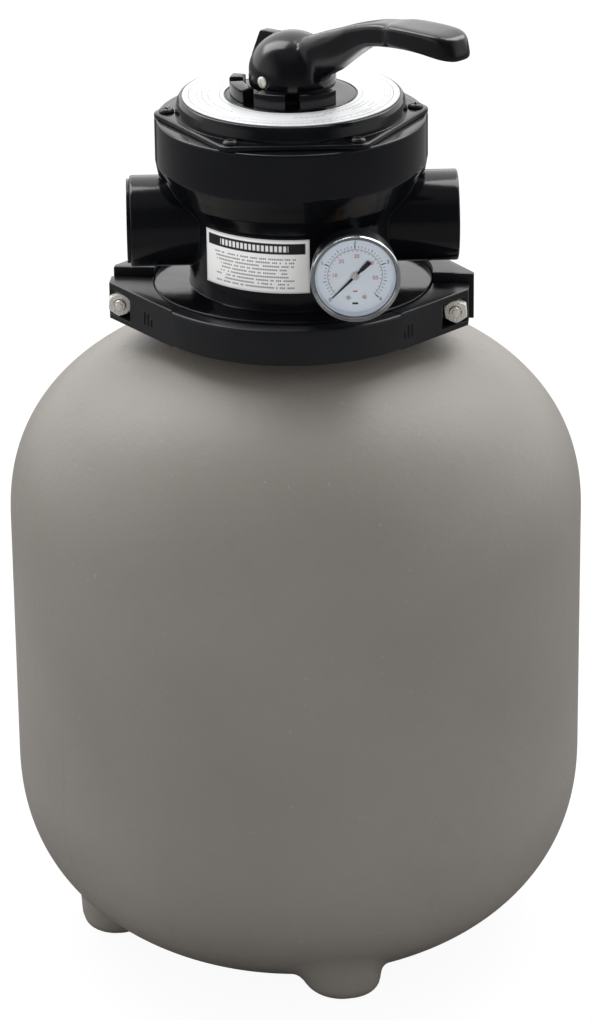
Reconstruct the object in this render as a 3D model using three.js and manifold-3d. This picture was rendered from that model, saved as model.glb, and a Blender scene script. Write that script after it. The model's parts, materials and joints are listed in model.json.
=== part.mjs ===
// Sand filter tank with a top-mounted multiport valve, in millimetres.
// +Z is up, the floor is Z = 0, the tank's axis is the Z axis and the two side ports lie along X.
// The front, where the pressure gauge and the body label are, faces -Y.

import * as THREE from 'three';
import { mergeVertices } from 'three/addons/utils/BufferGeometryUtils.js';
import Module from 'manifold-3d';

const wasm = await Module();
wasm.setup();

// ---------------------------------------------------------------- driving dimensions
const GAP = 0.3; // clearance between pieces that rest on or run in each other

const TANK_R = 175;
const TANK_WALL = 5;
const DOME_TOP = { startZ: 272.8, height: 123.1, power: 2.29 };
const DOME_BOTTOM = { startZ: 117, height: 133.4, power: 2.3 };
const BASE_RIM_R = 108; // where the bottom dome turns in to the recessed base
const BASE_RECESS = [[0, 22], [70, 17], [96, 9.5]]; // underside inwards of the rim, from the axis outwards
const NECK_R = 68;
const NECK_BORE_R = 60;

const FLANGE_R = 84; // tank and valve flanges held by the clamp
const FLANGE_LOW_Z = 399.5;
const FLANGE_JOINT_Z = 406.8;
const FLANGE_TOP_Z = 413.5;

const FOOT = { centreR: 120, radial: 40, wide: 44, topZ: 36, firstAzimuth: -78.6, count: 4 };

const CLAMP = { r: 90, lipR: 79.5, lowLipR: 77, lowZ: 397.5, topZ: 419, turn: -7, split: 0.7 };
// The bolted ends of the clamp halves; the back half's are thinner and taller.
const WING = { reach: 108.5, lowZ: 397.2, boltX: 101, boltZ: 408, pocketHalf: 7.8 };
const FRONT_WING = { thick: 12.3, topZ: 420 };
const BACK_WING = { thick: 5.2, topZ: 425.3 };
const BOLT_R = 3.5;
const HEX_AF = 13;

const PORT = { r: 27.3, boreR: 24, z: 459, reach: 99, socketDepth: 28, ductR: 20 };
const BODY_R = 62;
const DECK = { r: 79, topZ: 421 }; // flat top of the valve flange inside the clamp
const DRUM_R = 80.3;
const DRUM_LOW_Z = 495;
const DRUM_TOP_Z = 523.5;
const CHAMBER_R = 62.5;
const SEAT_Z = 480; // top of the ported floor that the spider gasket lies on

const SCREW = { pitchR: 73.8, count: 6, firstAzimuth: 0, shankR: 2.2, holeR: 2.6, headR: 4.7, bossR: 7.5 };
const COVER = { flangeTopZ: 526.5, rimR: 68.8, topR: 66, topZ: 536, plugR: 61.6, boreR: 10.6 };
const CROWN = { innerR: 28.3, outerR: 36.5, topZ: 546 };
const CROWN_BLOCKS = [[-112, -97], [-83, -52], [-38, -7], [7, 45]]; // degrees from the front, + to the right

const STEM_R = 10;
const PIVOT_Z = 551;
// The handle's dome: `rise` is its height over the pivot, `ahead` its shift towards the lever.
const HUB = { r: 26, rise: 23, lowZ: 542.5, ahead: 1.5 };
const HANDLE_AZIMUTH = -45;
const HANDLE_WIDTH = 20.8;
const PIN_R = 3.4;
const PIN_HALF = 24;

const GAUGE = { x: 33.7, z: 453, bossY: 66, bossR: 13, caseR: 24.9, bezelR: 26.4, backY: 73.3, faceY: 97 };

const PIPE_R = 25;
const PIPE_BORE_R = 22.6;
const HUB_TOP_Z = 80;
const LATERAL = { r: 8, z: 56, innerR: 33.4, outerR: 122, spigotR: 5, count: 8 };

// ---------------------------------------------------------------- materials
const material = (color, roughness, metalness = 0) =>
  new THREE.MeshStandardMaterial({ color, roughness, metalness });

const tankPlastic = () => material(0x8b8681, 0.55);
const glossBlack = () => material(0x131314, 0.22);
const satinBlack = () => material(0x1b1c1d, 0.42);
const stainless = () => material(0xb9b7b2, 0.3, 1);
const brass = () => material(0xb5935a, 0.35, 1);
const rubber = () => material(0x161616, 0.85);
const whiteLabel = () => material(0xeeeeec, 0.4);
const greyPipe = () => material(0xd5d6d4, 0.5);

// ---------------------------------------------------------------- solid helpers
// How many flat sides stand for a full turn on wide, ordinary and small round pieces.
const WIDE = 40;
const ROUND = 32;
const SMALL = 20;

const radians = (degrees) => (degrees * Math.PI) / 180;

function welded(geometry) {
  const bare = geometry.clone();
  bare.deleteAttribute('normal');
  bare.deleteAttribute('uv');
  const merged = mergeVertices(bare, 1e-4);
  const index = [];
  for (let i = 0; i < merged.index.count; i += 3) {
    const [a, b, c] = [0, 1, 2].map((k) => merged.index.getX(i + k));
    if (a !== b && b !== c && c !== a) index.push(a, b, c);
  }
  merged.setIndex(index);
  return merged;
}

function toSolid(geometry) {
  const mesh = welded(geometry);
  return new wasm.Manifold(
    new wasm.Mesh({
      numProp: 3,
      vertProperties: new Float32Array(mesh.attributes.position.array),
      triVerts: new Uint32Array(mesh.index.array),
    }),
  );
}

function toGeometry(solid) {
  const mesh = solid.getMesh();
  const geometry = new THREE.BufferGeometry();
  geometry.setAttribute('position', new THREE.BufferAttribute(mesh.vertProperties, 3));
  geometry.setIndex(new THREE.BufferAttribute(mesh.triVerts, 1));
  geometry.computeVertexNormals();
  return geometry;
}

function join(...geometries) {
  return toGeometry(geometries.map(toSolid).reduce((whole, piece) => whole.add(piece)));
}

function cut(base, ...tools) {
  return toGeometry(tools.map(toSolid).reduce((left, tool) => left.subtract(tool), toSolid(base)));
}

function common(a, b) {
  return toGeometry(toSolid(a).intersect(toSolid(b)));
}

// A solid turned about Z from [radius, z] points, listed outside upwards and inside downwards.
function turned(points, segments = ROUND) {
  const profile = points.map(([r, z]) => new THREE.Vector2(r, z));
  if (points[0][0] > 0) profile.push(profile[0].clone());
  return welded(new THREE.LatheGeometry(profile, segments).rotateX(Math.PI / 2));
}

const ringProfile = (innerR, outerR, lowZ, topZ) => [
  [innerR, lowZ], [outerR, lowZ], [outerR, topZ], [innerR, topZ],
];
const ring = (innerR, outerR, lowZ, topZ, segments) =>
  turned(ringProfile(innerR, outerR, lowZ, topZ), segments);
const disc = (r, lowZ, topZ, segments = ROUND) =>
  turned([[0, lowZ], [r, lowZ], [r, topZ], [0, topZ]], segments);

function box(lowX, lowY, lowZ, highX, highY, highZ) {
  const geometry = new THREE.BoxGeometry(highX - lowX, highY - lowY, highZ - lowZ);
  return geometry.translate((lowX + highX) / 2, (lowY + highY) / 2, (lowZ + highZ) / 2);
}

// A cylinder along the horizontal direction `azimuth` (degrees from +X), between two distances from the axis.
function spoke(r, fromDistance, toDistance, azimuth, z, segments = SMALL) {
  return disc(r, fromDistance, toDistance, segments)
    .rotateY(Math.PI / 2)
    .rotateZ(radians(azimuth))
    .translate(0, 0, z);
}

// A cylinder along -Y through (x, z), between two distances in front of the axis.
function forwardRod(r, fromDistance, toDistance, x, z, segments = SMALL) {
  return disc(r, fromDistance, toDistance, segments).rotateX(Math.PI / 2).translate(x, 0, z);
}

function torus(ringR, sectionR, z, ringSegments = ROUND) {
  return new THREE.TorusGeometry(ringR, sectionR, 6, ringSegments).translate(0, 0, z);
}

function extruded(shape, lowZ, topZ, curveSegments = 8) {
  const options = { depth: topZ - lowZ, bevelEnabled: false, curveSegments };
  return new THREE.ExtrudeGeometry(shape, options).translate(0, 0, lowZ);
}

// A block bounded by two radii and two azimuths, in degrees from +X.
function sector(innerR, outerR, fromAzimuth, toAzimuth, lowZ, topZ) {
  const shape = new THREE.Shape();
  shape.absarc(0, 0, outerR, radians(fromAzimuth), radians(toAzimuth), false);
  shape.absarc(0, 0, innerR, radians(toAzimuth), radians(fromAzimuth), true);
  return extruded(shape, lowZ, topZ, 5);
}

function hexagon(acrossFlats, holeR, lowZ, topZ) {
  const shape = new THREE.Shape();
  const cornerR = acrossFlats / Math.sqrt(3);
  for (let k = 0; k < 6; k += 1) {
    const angle = radians(60 * k);
    const point = [cornerR * Math.cos(angle), cornerR * Math.sin(angle)];
    if (k === 0) shape.moveTo(...point);
    else shape.lineTo(...point);
  }
  if (holeR > 0) {
    const hole = new THREE.Path();
    hole.absarc(0, 0, holeR, 0, 2 * Math.PI, false);
    shape.holes.push(hole);
  }
  return extruded(shape, lowZ, topZ, 8);
}

function around(count, firstAzimuth, make) {
  return Array.from({ length: count }, (_, k) => make(firstAzimuth + (360 / count) * k, k));
}

const part = new THREE.Group();

function add(name, geometry, pieceMaterial, group = part) {
  const mesh = new THREE.Mesh(geometry, pieceMaterial);
  mesh.name = name;
  group.add(mesh);
  return mesh;
}

// ---------------------------------------------------------------- tank
const domePoint = (dome, sign, t, inset) => [
  (TANK_R - inset) * Math.cos(t) ** (2 / dome.power),
  dome.startZ + sign * (dome.height - inset) * Math.sin(t) ** (2 / dome.power),
];

// Points of a dome from its widest circle inwards to `endR`.
function domeArc(dome, sign, endR, inset, steps) {
  const endT = Math.acos((endR / (TANK_R - inset)) ** (dome.power / 2));
  return Array.from({ length: steps + 1 }, (_, k) => domePoint(dome, sign, (endT * k) / steps, inset));
}

function makeTankShell() {
  const outside = [
    ...BASE_RECESS,
    ...domeArc(DOME_BOTTOM, -1, BASE_RIM_R, 0, 6).reverse(),
    ...domeArc(DOME_TOP, 1, NECK_R, 0, 8),
    [NECK_R, FLANGE_LOW_Z],
    [FLANGE_R, FLANGE_LOW_Z],
    [FLANGE_R, FLANGE_JOINT_Z],
  ];
  const seal = [[72.8, FLANGE_JOINT_Z], [72.8, 402.4], [67.2, 402.4], [67.2, FLANGE_JOINT_Z]];
  const innerBase = BASE_RECESS.slice(0, 2).map(([r, z]) => [r, z + TANK_WALL]);
  const inside = [
    [NECK_BORE_R, FLANGE_JOINT_Z],
    ...domeArc(DOME_TOP, 1, NECK_BORE_R, TANK_WALL, 5).reverse(),
    ...domeArc(DOME_BOTTOM, -1, BASE_RIM_R, TANK_WALL, 4),
    ...innerBase.toReversed(),
  ];
  const shell = turned([...outside, ...seal, ...inside], WIDE);
  const halfWide = FOOT.wide / 2;
  const feet = around(FOOT.count, FOOT.firstAzimuth, (azimuth) => {
    const innerX = FOOT.centreR - FOOT.radial / 2;
    const block = box(innerX, -halfWide, 0, innerX + FOOT.radial, halfWide, FOOT.topZ);
    return block.rotateZ(radians(azimuth));
  });
  const cavity = turned([
    ...innerBase.map(([r, z]) => [r, z + 0.5]),
    ...domeArc(DOME_BOTTOM, -1, BASE_RIM_R, TANK_WALL, 4).reverse(),
    [0, DOME_TOP.startZ],
  ], WIDE);
  return join(shell, ...feet.map((foot) => cut(foot, cavity)));
}

add('tank_shell', makeTankShell(), tankPlastic());
add('flange_oring', torus(70, 2.2, 404.6), rubber());

// ---------------------------------------------------------------- flange clamp
const clampGroup = new THREE.Group();
clampGroup.rotation.z = radians(CLAMP.turn);
part.add(clampGroup);

// Where a straight wall from the wing's outer corner meets the clamp's round wall.
function wingTangent(thick) {
  const cornerR = Math.hypot(WING.reach, thick);
  const angle = Math.atan2(thick, WING.reach) + Math.acos(CLAMP.r / cornerR);
  return new THREE.Vector2(CLAMP.r * Math.cos(angle), CLAMP.r * Math.sin(angle));
}

// One wing on a half's right: a wedge running on from the round wall, with a pocket for the nut or bolt head.
function makeWing({ thick, topZ }) {
  const plan = new THREE.Shape([
    new THREE.Vector2(60, 0), new THREE.Vector2(WING.reach, 0), new THREE.Vector2(WING.reach, thick),
    wingTangent(thick), new THREE.Vector2(45, 40),
  ]);
  const [lowZ, highZ] = [WING.boltZ - WING.pocketHalf, WING.boltZ + WING.pocketHalf];
  const pocket = box(WING.boltX - WING.pocketHalf, thick, lowZ, WING.reach + 1, 60, highZ);
  return cut(extruded(plan, WING.lowZ, topZ), pocket);
}

function makeClampHalf(side) {
  const disk = common(
    disc(CLAMP.r, CLAMP.lowZ, CLAMP.topZ, WIDE),
    box(-CLAMP.r - 1, 0, CLAMP.lowZ - 1, CLAMP.r + 1, CLAMP.r + 1, CLAMP.topZ + 1),
  );
  const right = makeWing(side > 0 ? BACK_WING : FRONT_WING);
  const left = toGeometry(toSolid(right).mirror([1, 0, 0]));
  const groove = turned([
    [0, WING.lowZ - 1],
    [CLAMP.lowLipR, WING.lowZ - 1],
    [CLAMP.lowLipR, FLANGE_LOW_Z - GAP],
    [FLANGE_R + 0.6, FLANGE_LOW_Z - GAP],
    [FLANGE_R + 0.6, FLANGE_TOP_Z + GAP],
    [CLAMP.lipR, FLANGE_TOP_Z + GAP],
    [CLAMP.lipR, BACK_WING.topZ + 1],
    [0, BACK_WING.topZ + 1],
  ]);
  const holes = [-1, 1].map((end) => forwardRod(BOLT_R + GAP, -20, 20, end * WING.boltX, WING.boltZ));
  const splitGap = box(-130, -1, 380, 130, CLAMP.split, 440);
  const half = cut(join(disk, right, left), groove, ...holes, splitGap);
  return side > 0 ? half : toGeometry(toSolid(half).mirror([0, 1, 0]));
}

add('clamp_front', makeClampHalf(-1), satinBlack(), clampGroup);
add('clamp_back', makeClampHalf(1), satinBlack(), clampGroup);

for (const [label, side] of [['left', -1], ['right', 1]]) {
  const place = (geometry) => geometry.rotateX(Math.PI / 2).translate(side * WING.boltX, 0, WING.boltZ);
  const [headZ, nutZ] = [-BACK_WING.thick - GAP, FRONT_WING.thick + GAP];
  const shank = disc(BOLT_R, headZ - 1, 20, 20);
  const tip = turned([[0, 19.9], [BOLT_R, 19.9], [BOLT_R - 1.2, 21.6], [0, 22]], 20);
  const head = hexagon(HEX_AF, 0, headZ - 5.5, headZ).rotateZ(radians(30));
  add(`clamp_bolt_${label}`, place(join(shank, tip, head)), stainless(), clampGroup);
  const nut = hexagon(HEX_AF, BOLT_R + 0.2, nutZ, nutZ + 6.4).rotateZ(radians(30));
  add(`clamp_nut_${label}`, place(nut), stainless(), clampGroup);
}

// ---------------------------------------------------------------- valve body
const SKIRT = { r: 58, lowZ: 395 };
const CENTRE_TUBE_R = 29;
const PORT_AZIMUTHS = [0, 90, 180];

function makeValveBody() {
  const block = turned([
    [0, SKIRT.lowZ], [SKIRT.r, SKIRT.lowZ], [SKIRT.r, FLANGE_JOINT_Z + GAP],
    [FLANGE_R, FLANGE_JOINT_Z + GAP], [FLANGE_R, FLANGE_TOP_Z],
    [DECK.r, FLANGE_TOP_Z], [DECK.r, DECK.topZ], [BODY_R, DECK.topZ],
    [BODY_R, 468.5], [66, 473.5], [71.5, 479], [75.5, 487], [DRUM_R, DRUM_LOW_Z], [DRUM_R, DRUM_TOP_Z],
    [0, DRUM_TOP_Z],
  ]);
  const ports = PORT_AZIMUTHS.map((azimuth) => spoke(PORT.r, 40, PORT.reach, azimuth, PORT.z));
  const sideBosses = around(2, SCREW.firstAzimuth, (azimuth) =>
    turned([[0, 472], [3, 472], [SCREW.bossR, 490], [SCREW.bossR, DRUM_TOP_Z], [0, DRUM_TOP_Z]], 12)
      .translate(SCREW.pitchR, 0, 0)
      .rotateZ(radians(azimuth)));
  const gaugeBoss = forwardRod(GAUGE.bossR, 40, GAUGE.bossY, GAUGE.x, GAUGE.z);

  const chamber = disc(CHAMBER_R, SEAT_Z, DRUM_TOP_Z + 1);
  const pipeSocket = disc(PIPE_R + 0.4, SKIRT.lowZ - 1, SEAT_Z + 1);
  const annulus = ring(CENTRE_TUBE_R, 57, SKIRT.lowZ - 1, 474);
  const walls = [45, 135, 270].map((azimuth) =>
    box(20, -2, SKIRT.lowZ - 2, 60, 2, 476).rotateZ(radians(azimuth)));
  const windows = around(4, 0, (azimuth) => sector(33, 55, azimuth - 30, azimuth + 30, 473, SEAT_Z + 1));
  const ducts = PORT_AZIMUTHS.flatMap((azimuth) => [
    spoke(PORT.boreR, PORT.reach - PORT.socketDepth, PORT.reach + 1, azimuth, PORT.z),
    spoke(PORT.ductR, 45, PORT.reach, azimuth, PORT.z - 1),
  ]);
  const screwHoles = around(SCREW.count, SCREW.firstAzimuth, (azimuth) =>
    disc(SCREW.holeR, 502, DRUM_TOP_Z + 1, 12).translate(SCREW.pitchR, 0, 0).rotateZ(radians(azimuth)));
  const gaugeHole = forwardRod(6.8, 38, GAUGE.bossY + 1, GAUGE.x, GAUGE.z);

  const rough = join(block, ...ports, ...sideBosses, gaugeBoss);
  const rooms = [chamber, pipeSocket, cut(annulus, ...walls), ...windows, ...ducts];
  return cut(rough, ...rooms, ...screwHoles, gaugeHole);
}

add('valve_body', makeValveBody(), glossBlack());
add('body_label', sector(BODY_R + 0.1, BODY_R + 0.5, 214, 277.6, 433, 468), whiteLabel());

// ---------------------------------------------------------------- rotor, seals and spring
const GASKET_TOP_Z = SEAT_Z + 2.2;
const ROTOR_LOW_Z = GASKET_TOP_Z + GAP;
const ROTOR_TOP_Z = 490;
const SPRING = { r: 22, wireR: 1.7, turns: 5, lowZ: ROTOR_TOP_Z + 1.6, topZ: 528.4 };

function makeSpiderGasket() {
  const windows = around(4, 0, (azimuth) =>
    sector(34, 54, azimuth - 28, azimuth + 28, SEAT_Z - 1, GASKET_TOP_Z + 1));
  return cut(ring(27, 60.5, SEAT_Z + 0.1, GASKET_TOP_Z), ...windows);
}

function makeRotor() {
  const blank = turned([
    [0, ROTOR_LOW_Z], [60.5, ROTOR_LOW_Z], [60.5, ROTOR_TOP_Z], [15, ROTOR_TOP_Z], [15, 499],
    [STEM_R, 504], [STEM_R, 560.5], [STEM_R - 1.5, 562], [0, 562],
  ]);
  const gate = sector(32, 55, HANDLE_AZIMUTH - 27, HANDLE_AZIMUTH + 27, ROTOR_LOW_Z - 1, ROTOR_TOP_Z + 1);
  const pinHole = spoke(PIN_R + 0.15, -20, 20, HANDLE_AZIMUTH + 90, PIVOT_Z, 16);
  return cut(blank, gate, pinHole);
}

class Helix extends THREE.Curve {
  getPoint(t, target = new THREE.Vector3()) {
    const angle = 2 * Math.PI * SPRING.turns * t;
    const low = SPRING.lowZ + SPRING.wireR;
    const high = SPRING.topZ - SPRING.wireR;
    return target.set(SPRING.r * Math.cos(angle), SPRING.r * Math.sin(angle), low + (high - low) * t);
  }
}

function makeSpring() {
  const section = new THREE.Shape();
  section.absarc(0, 0, SPRING.wireR, 0, 2 * Math.PI, false);
  const sweep = { steps: SPRING.turns * 14, extrudePath: new Helix() };
  return new THREE.ExtrudeGeometry(section, { ...sweep, curveSegments: 2, bevelEnabled: false });
}

add('spider_gasket', makeSpiderGasket(), rubber());
add('rotor', makeRotor(), material(0x2a2b2d, 0.4));
add('spring_washer_lower', ring(18, 26, ROTOR_TOP_Z + 0.2, SPRING.lowZ - 0.2, 28), stainless());
add('spring', makeSpring(), stainless());
add('spring_washer_upper', ring(18, 26, SPRING.topZ + 0.1, 529.8, 28), stainless());
add('stem_oring_lower', torus(12.2, 1.6, 526.6, SMALL), rubber());
add('stem_oring_upper', torus(12.2, 1.6, 530.2, SMALL), rubber());

// ---------------------------------------------------------------- valve cover
function makeValveCover() {
  const cap = turned([
    [56, 514], [COVER.plugR, 514], [COVER.plugR, 516], [58.2, 516], [58.2, 520.2],
    [COVER.plugR, 520.2], [COVER.plugR, 524], [COVER.rimR, 524], [COVER.rimR, 529],
    [COVER.topR + 1.4, 534.6], [COVER.topR, COVER.topZ],
    [COVER.boreR, COVER.topZ], [COVER.boreR, 532.2], [14, 532.2], [14, 524.6], [COVER.boreR, 524.6],
    [COVER.boreR, 516], [17, 516], [17, 530], [50, 530], [56, 525],
  ]);
  const flange = new THREE.Shape();
  around(SCREW.count, SCREW.firstAzimuth, (azimuth) => {
    const x = SCREW.pitchR * Math.cos(radians(azimuth));
    const y = SCREW.pitchR * Math.sin(radians(azimuth));
    flange.absarc(x, y, SCREW.bossR, radians(azimuth - 30), radians(azimuth + 30), false);
  });
  const middle = disc(COVER.rimR - 3, DRUM_TOP_Z - 1, COVER.flangeTopZ + 1);
  const plate = cut(extruded(flange, DRUM_TOP_Z + GAP, COVER.flangeTopZ, 6), middle);
  const crown = CROWN_BLOCKS.map(([from, to]) =>
    sector(CROWN.innerR, CROWN.outerR, from - 90, to - 90, COVER.topZ - 1, CROWN.topZ));
  const screwHoles = around(SCREW.count, SCREW.firstAzimuth, (azimuth) =>
    disc(SCREW.holeR, DRUM_TOP_Z - 1, COVER.flangeTopZ + 1, 12)
      .translate(SCREW.pitchR, 0, 0)
      .rotateZ(radians(azimuth)));
  return cut(join(cap, plate, ...crown), ...screwHoles);
}

function makeCoverScrew() {
  const headLowZ = COVER.flangeTopZ + 0.1;
  return turned([
    [0, 504], [1.2, 504], [SCREW.shankR, 507], [SCREW.shankR, headLowZ], [SCREW.headR, headLowZ],
    [SCREW.headR, headLowZ + 1.4], [SCREW.headR - 1.4, headLowZ + 2.8], [0, headLowZ + 3],
  ], 10);
}

add('cover_oring', torus(60.3, 1.65, 518.1), rubber());
add('valve_cover', makeValveCover(), glossBlack());
add('label_disc', ring(39.8, 64.7, COVER.topZ + 0.05, COVER.topZ + 0.6, WIDE), whiteLabel());
around(SCREW.count, SCREW.firstAzimuth, (azimuth, k) => {
  const screw = add(`cover_screw_${k + 1}`, makeCoverScrew(), satinBlack());
  screw.position.set(SCREW.pitchR * Math.cos(radians(azimuth)), SCREW.pitchR * Math.sin(radians(azimuth)), 0);
});

// ---------------------------------------------------------------- handle
// Built with the lever along +X and the pivot pin along Y, then turned to the handle's rest azimuth.
const handleGroup = new THREE.Group();
handleGroup.rotation.z = radians(HANDLE_AZIMUTH);
part.add(handleGroup);

// Side outlines as [distance from the axis, height].
const LEVER = [
  [10, 571], [32, 581], [52, 589], [67, 594], [85, 597], [106, 598.6], [124, 598.4], [133, 597],
  [136.5, 593.5], [136, 587.5], [130, 585.5], [109, 586.3], [96, 585.2], [84, 582.3], [72, 577.8],
  [60, 570.6], [48, 561.8], [38, 555.4], [28, 551.5], [10, 550],
];
const CHEEK = [[-36, 552], [-28.5, 567.5], [-26.5, 569.5], [-12, 570.5], [0, 570], [0, 552]];
const CHEEK_SPAN = [3, 9]; // beside the lever's middle plane

// A plate in the handle's upright plane from an outline, between two sideways offsets.
function uprightPlate(outline, lowY, highY) {
  const shape = new THREE.Shape(outline.map(([x, z]) => new THREE.Vector2(x, z)));
  return extruded(shape, -highY, -lowY).rotateX(Math.PI / 2);
}

function makeHandle() {
  const lever = uprightPlate(LEVER, -HANDLE_WIDTH / 2, HANDLE_WIDTH / 2);
  const cheek = uprightPlate(CHEEK, ...CHEEK_SPAN);
  const dome = new THREE.SphereGeometry(HUB.r, SMALL, 12).scale(1, HUB.rise / HUB.r, 1)
    .rotateX(Math.PI / 2)
    .translate(HUB.ahead, 0, PIVOT_Z);
  const below = box(-40, -40, 500, 40, 40, HUB.lowZ);
  const slot = box(-40, -STEM_R - 0.5, 530, 14.5, STEM_R + 0.5, PIVOT_Z + 4);
  const swing = forwardRod(14.5, -STEM_R - 0.5, STEM_R + 0.5, 0, PIVOT_Z, 24);
  const pinHole = forwardRod(PIN_R + GAP, -40, 40, 0, PIVOT_Z, 16);
  return cut(join(dome, lever, cheek), below, slot, swing, pinHole);
}

add('handle', makeHandle(), satinBlack(), handleGroup);
add('handle_pin', forwardRod(PIN_R, -PIN_HALF, PIN_HALF, 0, PIVOT_Z, 16), stainless(), handleGroup);
add('cam_washer', ring(STEM_R + 0.8, 24, COVER.topZ + GAP, 538.6, SMALL), material(0x2a2b2d, 0.4));

// ---------------------------------------------------------------- pressure gauge
// Built facing +Z with +Y up, then stood on the body so that it faces -Y.
const gaugeGroup = new THREE.Group();
gaugeGroup.position.set(GAUGE.x, 0, GAUGE.z);
gaugeGroup.rotation.x = Math.PI / 2;
part.add(gaugeGroup);

function makeNeedle() {
  const tip = 19;
  const tail = 12;
  const blade = new THREE.Shape([
    new THREE.Vector2(tip, 0), new THREE.Vector2(0, 1), new THREE.Vector2(-tail, 1.6),
    new THREE.Vector2(-tail, -1.6), new THREE.Vector2(0, -1),
  ]);
  const plate = extruded(blade, 90.4, 91).rotateZ(radians(225));
  return join(plate, disc(2.6, 90.2, 91.6, 16), disc(1, 86.5, 91, 12));
}

class GaugeArc extends THREE.Curve {
  getPoint(t, target = new THREE.Vector3()) {
    const angle = radians(-45 + 270 * t);
    return target.set(17 * Math.cos(angle), 17 * Math.sin(angle), 81);
  }
}

function makeBourdon() {
  const section = new THREE.Shape();
  section.absellipse(0, 0, 1.4, 2.6, 0, 2 * Math.PI, false, 0);
  const options = { steps: 20, extrudePath: new GaugeArc(), curveSegments: 3, bevelEnabled: false };
  return new THREE.ExtrudeGeometry(section, options);
}

const stemBase = join(
  disc(6.5, 46, GAUGE.bossY + 0.5, 20),
  hexagon(15, 0, GAUGE.bossY + GAP, GAUGE.backY - 0.2),
  disc(3, GAUGE.backY - 1, 76.2, 12),
);
add('gauge_stem', stemBase, brass(), gaugeGroup);
add('gauge_case', turned([
  [3.3, GAUGE.backY], [GAUGE.caseR - 2, GAUGE.backY], [GAUGE.caseR, GAUGE.backY + 2], [GAUGE.caseR, 94],
  [23.8, 94], [23.8, GAUGE.backY + 2], [3.3, GAUGE.backY + 2],
]), satinBlack(), gaugeGroup);
add('gauge_movement', cut(disc(7, 76.6, 88.2, 20), disc(1.3, 86, 89, 12)), brass(), gaugeGroup);
add('bourdon_tube', makeBourdon(), brass(), gaugeGroup);
add('gauge_dial', ring(1.5, 23.5, 88.8, 89.6), whiteLabel(), gaugeGroup);
add('gauge_needle', makeNeedle(), satinBlack(), gaugeGroup);
add('gauge_lens', disc(23.5, 92.4, 93.8), material(0xf4f8fa, 0.05), gaugeGroup);
add('gauge_bezel', turned([
  [GAUGE.caseR + 0.3, 92.6], [GAUGE.bezelR, 92.6],
  [GAUGE.bezelR, GAUGE.faceY - 1.5], [GAUGE.bezelR - 1.2, GAUGE.faceY],
  [24.6, GAUGE.faceY], [23, 94.3], [GAUGE.caseR + 0.3, 94.3],
]), stainless(), gaugeGroup);

// ---------------------------------------------------------------- pipework inside the tank
add('standpipe', ring(PIPE_BORE_R, PIPE_R, 58.4, 440), greyPipe());
add('top_diffuser', turned([
  [PIPE_R + 0.4, 366], [28, 366], [54, 372], [54, 375], [28, 380], [28, 392], [PIPE_R + 0.4, 392],
]), greyPipe());

const hubBlank = turned([
  [0, 46], [30, 46], [33, 49], [33, HUB_TOP_Z - 2], [31, HUB_TOP_Z],
  [PIPE_R + 0.4, HUB_TOP_Z], [PIPE_R + 0.4, 58], [20, 58], [20, 52], [0, 52],
]);
const hubSockets = around(LATERAL.count, 22.5, (azimuth) =>
  spoke(LATERAL.spigotR + GAP, 23, 40, azimuth, LATERAL.z, 10));
add('lateral_hub', cut(hubBlank, ...hubSockets), greyPipe());
around(LATERAL.count, 22.5, (azimuth, k) => {
  const tube = turned([
    [0, 25], [LATERAL.spigotR, 25], [LATERAL.spigotR, LATERAL.innerR], [LATERAL.r, LATERAL.innerR],
    [LATERAL.r, LATERAL.outerR - 3], [LATERAL.r - 3, LATERAL.outerR], [0, LATERAL.outerR],
  ], 8);
  const lateral = add(`lateral_${k + 1}`, tube, greyPipe());
  lateral.rotation.set(0, Math.PI / 2, radians(azimuth), 'ZYX');
  lateral.position.z = LATERAL.z;
});

export default part;
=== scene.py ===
"""Looks of the sand filter tank: fine meshes, procedural materials, studio light and camera.

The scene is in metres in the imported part's frame: +Z up, floor at Z = 0, tank axis on Z, front towards -Y.
Shapes are given in mm and scaled by MM as they become meshes.
"""
import json
import math

import bmesh
import bpy
import numpy as np
from mathutils import Matrix, Vector


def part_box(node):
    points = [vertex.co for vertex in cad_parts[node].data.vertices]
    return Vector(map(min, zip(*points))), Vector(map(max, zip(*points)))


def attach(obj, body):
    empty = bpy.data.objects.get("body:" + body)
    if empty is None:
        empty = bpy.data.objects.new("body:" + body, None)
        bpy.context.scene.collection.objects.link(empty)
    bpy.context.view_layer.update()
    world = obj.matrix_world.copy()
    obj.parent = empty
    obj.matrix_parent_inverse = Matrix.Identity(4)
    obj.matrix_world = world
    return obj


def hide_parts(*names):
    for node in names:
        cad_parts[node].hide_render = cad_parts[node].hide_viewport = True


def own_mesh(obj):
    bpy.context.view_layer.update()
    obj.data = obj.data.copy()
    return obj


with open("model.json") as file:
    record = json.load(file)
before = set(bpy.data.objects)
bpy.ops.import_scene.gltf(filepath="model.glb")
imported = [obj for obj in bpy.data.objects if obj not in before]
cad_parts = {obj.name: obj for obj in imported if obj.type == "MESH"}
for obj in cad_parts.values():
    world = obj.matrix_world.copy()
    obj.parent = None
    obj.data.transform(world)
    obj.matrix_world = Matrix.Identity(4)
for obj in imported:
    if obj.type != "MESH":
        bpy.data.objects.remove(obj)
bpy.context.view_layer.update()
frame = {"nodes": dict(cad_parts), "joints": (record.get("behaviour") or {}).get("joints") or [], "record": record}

MM = 0.001
RING_STEPS = 192  # sides of a fine turned piece


# ---- places and sizes
def turn(degrees):
    """A turn about Z."""
    return Matrix.Rotation(math.radians(degrees), 4, "Z")


def shift(x, y=0, z=0):
    """A move by distances in mm."""
    return Matrix.Translation((x * MM, y * MM, z * MM))


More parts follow.
